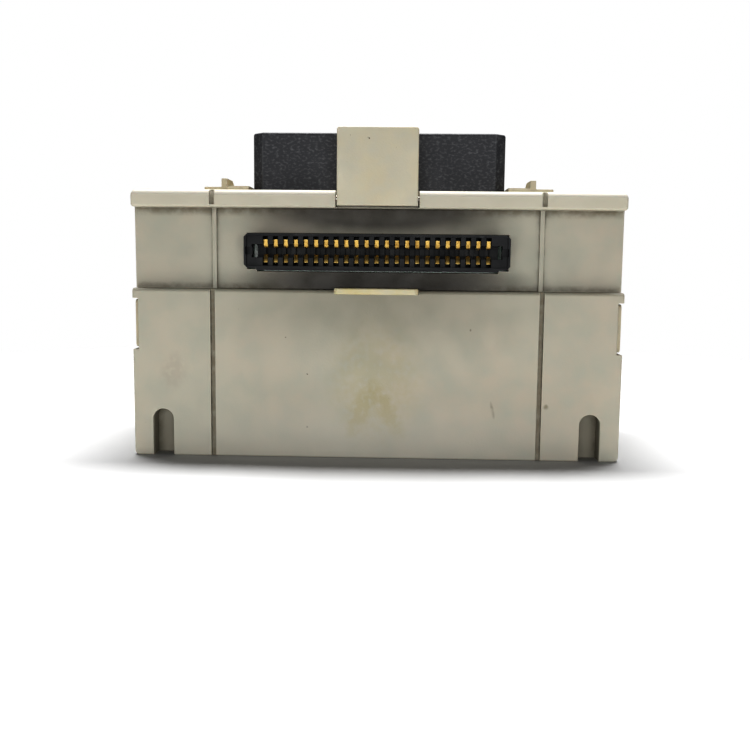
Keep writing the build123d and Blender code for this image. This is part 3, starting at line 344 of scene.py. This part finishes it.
def blackPlastic(name, look):
    material, tree, shader, coords = newMaterial(name, {"IOR": 1.55})
    dust = patches(tree, coords, 6 * mm, low=0.35, high=0.7, detail=5.0)
    dust = addNode(tree, "Math", operation="MULTIPLY", inputs={0: dust, 1: look["dustAmount"]})
    colour = addNode(tree, "Mix", data_type="RGBA", inputs={
        "Factor": dust, "A": linear(look["body"]), "B": linear(look["dust"])})
    scuff = patches(tree, coords, look["scuffSize"], low=look["scuffFrom"],
                    high=look["scuffFrom"] + look["scuffSoft"], detail=6.0, stretch=look["stretch"])
    colour = addNode(tree, "Mix", data_type="RGBA", inputs={
        "Factor": scuff, "A": colour, "B": linear(look["scuff"])})
    texture = patches(tree, coords, look["grain"], low=0.3, high=0.7, detail=4.0)
    normal = addNode(tree, "Bump", inputs={"Height": texture, "Strength": 1.0, "Distance": look["relief"]})
    rough = addNode(tree, "MapRange", inputs={
        "Value": dust, "From Max": look["dustAmount"],
        "To Min": look["roughness"][0], "To Max": look["roughness"][1]})
    connect(tree, shader, Base_Color=colour, Roughness=rough, Normal=normal)
    return material


# Plated and bright metals: the plating's own colour, dulled where it has tarnished, with drawing or
# turning marks too fine to see one by one that spread the highlight.
metalLooks = {
    "gold": {"body": "#EBCB7C", "tarnish": "#B8924A", "patch": 1.2 * mm, "share": (0.45, 0.75),
             "roughness": (0.38, 0.52), "marks": (1, 1, 6), "relief": 0.004 * mm},
    "screwZinc": {"body": "#C9C7BF", "tarnish": "#8D8A7C", "patch": 2.0 * mm, "share": (0.4, 0.7),
                  "roughness": (0.25, 0.5), "marks": (1, 1, 1), "relief": 0.006 * mm},
    "pinSteel": {"body": "#BDBBB5", "tarnish": "#8A8680", "patch": 3.0 * mm, "share": (0.4, 0.75),
                 "roughness": (0.16, 0.34), "marks": (0.2, 5, 5), "relief": 0.004 * mm},
    "springSteel": {"body": "#9E9C98", "tarnish": "#6B645A", "patch": 1.5 * mm, "share": (0.4, 0.75),
                    "roughness": (0.22, 0.4), "marks": (1, 1, 1), "relief": 0.004 * mm},
    "tin": {"body": "#D2D0C9", "tarnish": "#A09D93", "patch": 0.8 * mm, "share": (0.4, 0.7),
            "roughness": (0.28, 0.5), "marks": (1, 1, 1), "relief": 0.004 * mm},
    "can": {"body": "#CFCFCB", "tarnish": "#A5A39C", "patch": 2.5 * mm, "share": (0.45, 0.75),
            "roughness": (0.14, 0.3), "marks": (6, 1, 1), "relief": 0.003 * mm},
    "aluminium": {"body": "#C8C9C9", "tarnish": "#A8A9A8", "patch": 4.0 * mm, "share": (0.4, 0.7),
                  "roughness": (0.3, 0.46), "marks": (8, 8, 0.3), "relief": 0.010 * mm},
}


markWidth = 0.4 * mm  # drawn coarser than the real marks, so that they show


def metal(name, look):
    material, tree, shader, coords = newMaterial(name, {"Metallic": 1.0})
    tarnish = patches(tree, coords, look["patch"], *look["share"], detail=4.0)
    colour = addNode(tree, "Mix", data_type="RGBA", inputs={
        "Factor": tarnish, "A": linear(look["body"]), "B": linear(look["tarnish"])})
    marks = patches(tree, coords, markWidth, low=0.3, high=0.7, detail=3.0, stretch=look["marks"])
    normal = addNode(tree, "Bump", inputs={"Height": marks, "Strength": 1.0, "Distance": look["relief"]})
    rough = addNode(tree, "MapRange", inputs={
        "Value": tarnish, "To Min": look["roughness"][0], "To Max": look["roughness"][1]})
    connect(tree, shader, Base_Color=colour, Roughness=rough, Normal=normal)
    return material


# Glass-epoxy board under green solder mask: the mask is glossy, and the tracks under it are paler and
# stand a little proud.
boardLook = {"mask": "#1F5B3A", "track": "#2E7A4D", "weave": "#1A4E33", "trackPitch": 2.54 * mm,
             "trackEdge": (0.72, 0.80), "jogSize": 9 * mm, "areaSize": 14 * mm, "weaveSize": 0.9 * mm,
             "roughness": 0.28, "relief": 0.03 * mm}


def solderMask():
    material, tree, shader, coords = newMaterial("greenSolderMask", {
        "IOR": 1.5, "Roughness": boardLook["roughness"], "Coat Weight": 0.3, "Coat Roughness": 0.12})
    # tracks run up from the contacts, jog sideways here and there, and stop at random
    jog = patches(tree, coords, boardLook["jogSize"], low=0.45, high=0.55, detail=0.0)
    shift = addNode(tree, "Math", operation="MULTIPLY", inputs={0: jog, 1: boardLook["trackPitch"]})
    offset = addNode(tree, "CombineXYZ", inputs={"X": shift})
    moved = addNode(tree, "VectorMath", operation="ADD", inputs={0: coords, 1: offset})
    # a wave's bands stand 2 pi / 20 apart at a scale of 1, and the tracks lie at half the contacts' pitch
    waves = addNode(tree, "TexWave", out="Fac", wave_type="BANDS", bands_direction="X", inputs={
        "Vector": moved, "Scale": 2 * pi / (20 * boardLook["trackPitch"] / 2)})
    lines = addNode(tree, "MapRange", inputs={
        "Value": waves, "From Min": boardLook["trackEdge"][0], "From Max": boardLook["trackEdge"][1]})
    areas = patches(tree, coords, boardLook["areaSize"], low=0.44, high=0.48, detail=1.0)
    track = addNode(tree, "Math", operation="MULTIPLY", inputs={0: lines, 1: areas})
    weave = patches(tree, coords, boardLook["weaveSize"], low=0.3, high=0.7, detail=2.0)
    colour = addNode(tree, "Mix", data_type="RGBA", inputs={
        "Factor": weave, "A": linear(boardLook["mask"]), "B": linear(boardLook["weave"])})
    colour = addNode(tree, "Mix", data_type="RGBA", inputs={
        "Factor": track, "A": colour, "B": linear(boardLook["track"])})
    normal = addNode(tree, "Bump", inputs={
        "Height": track, "Strength": 1.0, "Distance": boardLook["relief"]})
    connect(tree, shader, Base_Color=colour, Normal=normal)
    return material


# Small parts inside, each with its own finish: (body, second colour, patch size, roughness, IOR)
smallLooks = {
    "dippedEpoxy": ("#2E2B29", "#4A423A", 2.5 * mm, 0.34, 1.55),
    "firedCeramic": ("#B98B52", "#A67A45", 1.2 * mm, 0.5, 1.6),
    "sinteredFerrite": ("#3A3B3C", "#55534F", 0.9 * mm, 0.55, 1.9),
    "shrinkSleeve": ("#22365A", "#1B2B49", 4.0 * mm, 0.25, 1.5),
}


smallGrain = {"finer": 5, "relief": 0.02 * mm, "roughSpread": 0.15}


def smallPart(name):
    body, second, size, roughness, ior = smallLooks[name]
    material, tree, shader, coords = newMaterial(name, {"IOR": ior})
    patch = patches(tree, coords, size, low=0.35, high=0.65, detail=5.0)
    colour = addNode(tree, "Mix", data_type="RGBA", inputs={
        "Factor": patch, "A": linear(body), "B": linear(second)})
    texture = patches(tree, coords, size / smallGrain["finer"], low=0.3, high=0.7, detail=4.0)
    normal = addNode(tree, "Bump", inputs={
        "Height": texture, "Strength": 1.0, "Distance": smallGrain["relief"]})
    rough = addNode(tree, "MapRange", inputs={
        "Value": patch, "To Min": roughness, "To Max": roughness + smallGrain["roughSpread"]})
    connect(tree, shader, Base_Color=colour, Roughness=rough, Normal=normal)
    return material, tree, shader, coords, colour


sleeveLook = {"band": "#B9C0C9", "bandEdge": (-0.9 * mm, -0.7 * mm),
              "can": "#C6C7C8", "canEdge": (-0.25 * mm, -0.15 * mm)}


def sleeve():
    # a plain pale band down the rear side of the capacitors, and bare metal on top
    material, tree, shader, coords, colour = smallPart("shrinkSleeve")
    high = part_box("supply_capacitors")[1]
    y = addNode(tree, "SeparateXYZ", out="Y", inputs={"Vector": coords})
    z = addNode(tree, "SeparateXYZ", out="Z", inputs={"Vector": coords})
    band = within(tree, 1.0, (y, high.y, sleeveLook["bandEdge"]))
    colour = addNode(tree, "Mix", data_type="RGBA", inputs={
        "Factor": band, "A": colour, "B": linear(sleeveLook["band"])})
    can = within(tree, 1.0, (z, high.z, sleeveLook["canEdge"]))
    colour = addNode(tree, "Mix", data_type="RGBA", inputs={
        "Factor": can, "A": colour, "B": linear(sleeveLook["can"])})
    connect(tree, shader, Base_Color=colour, Metallic=can)
    return material


copperLook = {"body": "#B4622F", "dark": "#8E4520", "patch": 1.5 * mm, "roughness": (0.25, 0.4)}


def enamelledCopper():
    # lacquer over copper: a deep orange-brown metal with a soft coat over it
    material, tree, shader, coords = newMaterial("enamelledCopper", {
        "Metallic": 1.0, "Coat Weight": 0.6, "Coat Roughness": 0.1})
    patch = patches(tree, coords, copperLook["patch"], low=0.35, high=0.7, detail=3.0)
    colour = addNode(tree, "Mix", data_type="RGBA", inputs={
        "Factor": patch, "A": linear(copperLook["body"]), "B": linear(copperLook["dark"])})
    rough = addNode(tree, "MapRange", inputs={
        "Value": patch, "To Min": copperLook["roughness"][0], "To Max": copperLook["roughness"][1]})
    connect(tree, shader, Base_Color=colour, Roughness=rough)
    return material


glassLook = {"body": "#F2F6F4", "haze": "#D9DEDA", "patch": 3 * mm, "roughness": (0.03, 0.14)}


def fuseGlass():
    # clear tube, faintly clouded inside
    material, tree, shader, coords = newMaterial("drawnGlass", {"IOR": 1.5, "Transmission Weight": 1.0})
    haze = patches(tree, coords, glassLook["patch"], low=0.4, high=0.8, detail=3.0)
    colour = addNode(tree, "Mix", data_type="RGBA", inputs={
        "Factor": haze, "A": linear(glassLook["body"]), "B": linear(glassLook["haze"])})
    rough = addNode(tree, "MapRange", inputs={
        "Value": haze, "To Min": glassLook["roughness"][0], "To Max": glassLook["roughness"][1]})
    connect(tree, shader, Base_Color=colour, Roughness=rough)
    return material


def wornAndHighlit(look, **changes):
    return {**look, **changes}


# rubbed edges with a painted highlight: the same plastics, paler and smoother, with less dirt in them
wornAndHighlitEdges = {
    "shell": agedAbs("rubbedHighlitAbsEdge", wornAndHighlit(
        plasticLooks["shell"], body="#DCD8C6", drift="#DDD5C0", cool="#D6D3C2", grimeAmount=0.5))[0],
    "frame": agedAbs("rubbedHighlitFrameEdge", wornAndHighlit(plasticLooks["frame"], body="#E2DBC4", drift="#E2D8BC"))[0],
    "tab": agedAbs("rubbedHighlitTabEdge", wornAndHighlit(plasticLooks["tab"], body="#E3DDC6", drift="#E2D8BD"))[0],
    "catch": agedAbs("rubbedHighlitCatchEdge", wornAndHighlit(plasticLooks["catch"], body="#EFE7C4", drift="#EDE0AE"))[0],
    "connector": blackPlastic("rubbedHighlitNylonEdge", wornAndHighlit(
        blackLooks["connector"], body="#26292B", dust="#55564F", dustAmount=0.4)),
    "cap": blackPlastic("rubbedHighlitCapEdge", wornAndHighlit(blackLooks["cap"], body="#45474B", dust="#7A7B7D")),
    "chip": blackPlastic("rubbedHighlitChipEdge", wornAndHighlit(blackLooks["chip"], body="#2A2B2C")),
    "gold": metal("rubbedHighlitGoldEdge", wornAndHighlit(metalLooks["gold"], body="#F6E3A4", tarnish="#D9B86C")),
    "aluminium": metal("rubbedHighlitAluminiumEdge", wornAndHighlit(
        metalLooks["aluminium"], body="#DCDDDD", roughness=(0.18, 0.3))),
}
finishes = {
    "shell": shellAbs(),
    "frame": agedAbs("mouldedAbsFrame", plasticLooks["frame"])[0],
    "tab": agedAbs("mouldedAbsTab", plasticLooks["tab"])[0],
    "catch": agedAbs("yellowedAbs", plasticLooks["catch"])[0],
    "connector": blackPlastic("glassFilledNylon", blackLooks["connector"]),
    "cap": blackPlastic("scuffedBlackAbs", blackLooks["cap"]),
    "chip": blackPlastic("mouldedEpoxy", blackLooks["chip"]),
    "gold": metal("goldFlashedBronze", metalLooks["gold"]),
    "screw": metal("zincPlatedSteel", metalLooks["screwZinc"]),
    "pin": metal("drawnSteel", metalLooks["pinSteel"]),
    "spring": metal("springSteelWire", metalLooks["springSteel"]),
    "tin": metal("tinnedBronze", metalLooks["tin"]),
    "can": metal("drawnNickelCan", metalLooks["can"]),
    "aluminium": metal("extrudedAluminium", metalLooks["aluminium"]),
    "board": solderMask(),
    "epoxy": smallPart("dippedEpoxy")[0],
    "ceramic": smallPart("firedCeramic")[0],
    "ferrite": smallPart("sinteredFerrite")[0],
    "sleeve": sleeve(),
    "copper": enamelledCopper(),
    "glass": fuseGlass(),
}
print("materials made:", len(finishes))


def finishPiece(name, shape, materials, body, replaced=()):
    # turns a bmesh into a piece of the object that rides on a body
    mesh = bpy.data.meshes.new(name)
    shape.to_mesh(mesh)
    shape.free()
    for material in materials:
        mesh.materials.append(material)
    mesh.shade_smooth()
    mesh.set_sharp_from_angle(angle=radians(50))
    piece = bpy.data.objects.new(name, mesh)
    scene.collection.objects.link(piece)
    flats = piece.modifiers.new("flatFaces", "WEIGHTED_NORMAL")
    flats.keep_sharp = True
    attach(piece, body)
    if replaced:
        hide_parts(*replaced)
    return piece


# angles in degrees: an edge sharper than hard is rounded, and faces flatter than flat are joined first
edgeLook = {"segments": 2, "hard": 32, "flat": 0.5, "bent": 4, "weld": 0.002 * mm, "closeUp": 0.0001 * mm}


def softened(node, edgeWidth):
    # a copy of a piece with its hard edges rounded off, as moulding and handling leave them
    shape = bmesh.new()
    shape.from_mesh(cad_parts[node].data)
    bmesh.ops.remove_doubles(shape, verts=shape.verts, dist=edgeLook["weld"])
    bmesh.ops.dissolve_limit(shape, angle_limit=radians(edgeLook["flat"]), verts=shape.verts,
                             edges=shape.edges)
    hardEdges = [e for e in shape.edges if e.calc_face_angle(0) > radians(edgeLook["hard"])]
    rounded = bmesh.ops.bevel(shape, geom=hardEdges, offset=edgeWidth, offset_type="OFFSET",
                              segments=edgeLook["segments"], profile=0.5, affect="EDGES", material=-1,
                              clamp_overlap=False)["faces"]
    for face in shape.faces:
        face.material_index = 0
    # outer edges take the second finish, worn and painted paler as a highlight; inner corners keep the first
    for face in rounded:
        bends = [e for e in face.edges if e.calc_face_angle(0) > radians(edgeLook["bent"])]
        face.material_index = 1 if sum(1 if e.is_convex else -1 for e in bends) > 0 else 0
    # rounding where faces meet at a slant can push a corner out, so it is held inside the piece's own box
    low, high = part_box(node)
    for vert in shape.verts:
        vert.co = Vector(min(max(c, a), b) for c, a, b in zip(vert.co, low, high))
    bmesh.ops.remove_doubles(shape, verts=shape.verts, dist=edgeLook["closeUp"])
    return shape


# the pieces whose edges show, with their edge rounding, finish, body and slot
softPieces = {
    "lowerCaseShell": ("lower_case", 0.16 * mm, "shell", "case", "case_beige"),
    "upperCaseShell": ("upper_case", 0.16 * mm, "shell", "case", "case_beige"),
    "rearCoverPlate": ("rear_cover", 0.18 * mm, "shell", "case", "case_beige"),
    "plugGuideFrame": ("guide_frame", 0.15 * mm, "frame", "case", "frame_beige"),
    "latchTabPlate": ("latch_tab", 0.12 * mm, "tab", "latch", "tab_beige"),
    "plugCap": ("connector_cap", 0.25 * mm, "cap", "cap", "cap_black"),
    "catchLip": ("catch_plate", 0.12 * mm, "catch", "case", "catch_yellowed"),
    "edgeConnectorBody": ("front_connector_body", 0.035 * mm, "connector", "case", "connector_black"),
    "upperContactStrips": ("upper_contacts", 0.05 * mm, "gold", "case", "contact_gold"),
    "lowerContactStrips": ("lower_contacts", 0.05 * mm, "gold", "case", "contact_gold"),
    "leftReleaseLever": ("left_release_arm", 0.12 * mm, "frame", "left_arm", "arm_beige"),
    "rightReleaseLever": ("right_release_arm", 0.12 * mm, "frame", "right_arm", "arm_beige"),
    "finnedHeatSink": ("heat_sink", 0.12 * mm, "aluminium", "case", "heat_sink_aluminium"),
    "busBufferBodies": ("bus_buffers", 0.08 * mm, "chip", "case", "chip_black"),
}
for name, (node, width, finish, body, slot) in softPieces.items():
    finishPiece(name, softened(node, width), [finishes[finish], wornAndHighlitEdges[finish]], body, [node])
print("softened pieces:", len(softPieces))

# CAD pieces that keep their shape and only take a finish
keptPieces = {
    "rear_cover_screws": "screw", "case_screws": "screw", "main_board_screws": "screw",
    "supply_board_screws": "screw", "main_board": "board", "supply_board": "board",
    "front_edge_fingers": "gold", "rear_edge_fingers": "gold", "link_pins": "gold",
    "link_header": "connector",
    "latch_pin": "pin", "left_release_pin": "pin", "right_release_pin": "pin",
    "latch_spring": "spring",
    "bus_buffer_leads": "tin", "controller_leads": "tin", "fuse_clips": "tin",
    "controller_chip": "chip", "regulator": "chip", "resistor_networks": "epoxy",
    "decoupling_capacitors": "ceramic", "crystal": "can", "supply_capacitors": "sleeve",
    "choke_core": "ferrite", "choke_winding": "copper",
}
for node, finish in keptPieces.items():
    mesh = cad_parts[node].data
    mesh.materials.clear()
    mesh.materials.append(finishes[finish])
print("finished pieces:", len(keptPieces))


def fuseWithCaps():
    # glass tube between plated end caps, with its wire through the middle
    look = {"edge": 0.08 * mm, "capLength": 5.2 * mm, "wireRadius": 0.12 * mm}
    shape = softened("fuse", look["edge"])
    low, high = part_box("fuse")
    for face in shape.faces:
        along = face.calc_center_median().y
        inCap = along < low.y + look["capLength"] or along > high.y - look["capLength"]
        face.material_index = 1 if inCap else 0
    finishPiece("glassFuse", shape, [finishes["glass"], finishes["can"]], "case", ["fuse"])
    wire = bmesh.new()
    lie = Matrix.Translation((low + high) / 2) @ Matrix.Rotation(pi / 2, 4, "X")
    bmesh.ops.create_cone(wire, cap_ends=True, segments=10, radius1=look["wireRadius"],
                          radius2=look["wireRadius"], depth=high.y - low.y - look["capLength"], matrix=lie)
    finishPiece("fuseWire", wire, [finishes["tin"]], "case")


def solderJoints():
    # two rows of small cones of solder on the back of the main board, behind the contacts
    look = {"radius": 0.62 * mm, "tip": 0.2 * mm, "height": 0.55 * mm, "rowOffset": 2.4 * mm}
    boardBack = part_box("main_board")[1].y
    shape = bmesh.new()
    for row in (-1, 1):
        for step in range(contactCount):
            x = (step - (contactCount - 1) / 2) * contactPitch
            place = Vector((x, boardBack + look["height"] / 2, mouthMiddle + row * look["rowOffset"]))
            stand = Matrix.Translation(place) @ Matrix.Rotation(-pi / 2, 4, "X")
            bmesh.ops.create_cone(shape, cap_ends=True, segments=12, radius1=look["radius"],
                                  radius2=look["tip"], depth=look["height"], matrix=stand)
    finishPiece("solderJoints", shape, [finishes["tin"]], "case")


def releaseSprings():
    # a welded copy of each release spring with a mesh of its own, on the case; the real coils shorten as the
    # levers swing in; the coils shorten as the levers swing in, which one stiff copy can't do
    for side, name in ((-1, "left"), (1, "right")):
        node = name + "_release_spring"
        shape = bmesh.new()
        shape.from_mesh(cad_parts[node].data)
        bmesh.ops.remove_doubles(shape, verts=shape.verts, dist=edgeLook["weld"])
        coil = finishPiece(name + "ReleaseCoil", shape, [finishes["spring"]], "case", [node])
        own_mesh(coil)


fuseWithCaps()
solderJoints()
releaseSprings()
print("inner details made")

# pale paper that fades into a white surround, dim light from all round, and the camera's view
studio = {
    "floorSize": 0.8, "floorColour": "#F4F4F4", "floorDrift": "#F8F8F8", "floorPatch": 60 * mm,
    "floorFadeFrom": 0.11, "floorFadeTo": 0.32, "worldColour": "#F6F8FF", "worldLight": 0.06,
    "contrast": 0.71, "softBounces": 1, "lens": 44.75, "cameraSide": 7.22 * mm,
    "cameraBack": 236.9 * mm, "cameraHeight": 49.87 * mm, "turn": 1.78, "dip": 6.77, "roll": 0.60,
}
# a wide softbox above and behind, a low strip in front and one at each side; places and aims are in
# metres from the foot of the case's front
softboxes = {
    "overheadSoftbox": {"power": 47.0, "size": (1.2, 0.47), "place": (0, 0.467, 1.80), "aim": (0, 0, 0)},
    "frontStrip": {"power": 7.0, "size": (1.4, 0.06), "place": (0, -1.3, 0.045), "aim": (0, 0, 0.04)},
    "leftSoftbox": {"power": 1.2, "size": (0.4, 0.4), "place": (-1.15, -0.45, 0.22), "aim": (0, 0.03, 0.04)},
    "rightSoftbox": {"power": 1.2, "size": (0.4, 0.4), "place": (1.15, -0.45, 0.22), "aim": (0, 0.03, 0.04)},
}


def paperFloor():
    material, tree, shader, coords = newMaterial("mattePaper", {"Roughness": 0.9, "Specular IOR Level": 0.2})
    tone = patches(tree, coords, studio["floorPatch"], low=0.3, high=0.7, detail=3.0)
    colour = addNode(tree, "Mix", data_type="RGBA", inputs={
        "Factor": tone, "A": linear(studio["floorColour"]), "B": linear(studio["floorDrift"])})
    # the paper fades out well away from the object, so no horizon shows
    away = addNode(tree, "Mapping", inputs={"Vector": coords, "Scale": (1 / studio["floorFadeTo"],) * 3})
    inner = addNode(tree, "TexGradient", out="Fac", gradient_type="SPHERICAL", inputs={"Vector": away})
    solid = addNode(tree, "MapRange", inputs={
        "Value": inner, "From Max": 1 - studio["floorFadeFrom"] / studio["floorFadeTo"]})
    connect(tree, shader, Base_Color=colour, Alpha=solid)
    shape = bmesh.new()
    bmesh.ops.create_grid(shape, x_segments=1, y_segments=1, size=studio["floorSize"] / 2)
    mesh = bpy.data.meshes.new("paperFloor")
    shape.to_mesh(mesh)
    shape.free()
    mesh.materials.append(material)
    floor = bpy.data.objects.new("paperFloor", mesh)
    scene.collection.objects.link(floor)


def softbox(name, look):
    lamp = bpy.data.lights.new(name, "AREA")
    lamp.shape = "RECTANGLE"
    lamp.size, lamp.size_y = look["size"]
    lamp.energy = look["power"]
    place, aim = (Vector((x, caseFront + y, z)) for x, y, z in (look["place"], look["aim"]))
    holder = bpy.data.objects.new(name, lamp)
    holder.location = place
    holder.rotation_euler = (aim - place).to_track_quat("-Z", "Y").to_euler()
    scene.collection.objects.link(holder)


def surround():
    world = bpy.data.worlds.new("studio")
    world.use_nodes = True
    tree = world.node_tree
    tree.nodes.clear()
    seen = addNode(tree, "Background", inputs={"Color": linear("#FFFFFF"), "Strength": 1.0})
    light = addNode(tree, "Background", inputs={
        "Color": linear(studio["worldColour"]), "Strength": studio["worldLight"]})
    straight = addNode(tree, "LightPath", out="Is Camera Ray")
    both = addNode(tree, "MixShader", inputs={0: straight, 1: light, 2: seen})
    addNode(tree, "OutputWorld", inputs={"Surface": both})
    scene.world = world


def viewpoint():
    lens = bpy.data.cameras.new("view")
    lens.lens = studio["lens"]
    lens.sensor_width = 36
    lens.clip_start = 0.01
    camera = bpy.data.objects.new("view", lens)
    place = Vector((studio["cameraSide"], caseFront - studio["cameraBack"], studio["cameraHeight"]))
    camera.matrix_world = (Matrix.Translation(place) @ Matrix.Rotation(radians(studio["turn"]), 4, "Z")
                           @ Matrix.Rotation(radians(90 - studio["dip"]), 4, "X")
                           @ Matrix.Rotation(radians(studio["roll"]), 4, "Z"))
    scene.collection.objects.link(camera)
    scene.camera = camera


paperFloor()
for name, look in softboxes.items():
    softbox(name, look)
surround()
viewpoint()
scene.view_settings.view_transform = "Standard"
scene.view_settings.gamma = studio["contrast"]  # below 1 darkens the middle tones
scene.cycles.diffuse_bounces = studio["softBounces"]  # few, so that shadows stay deep
print("studio ready")
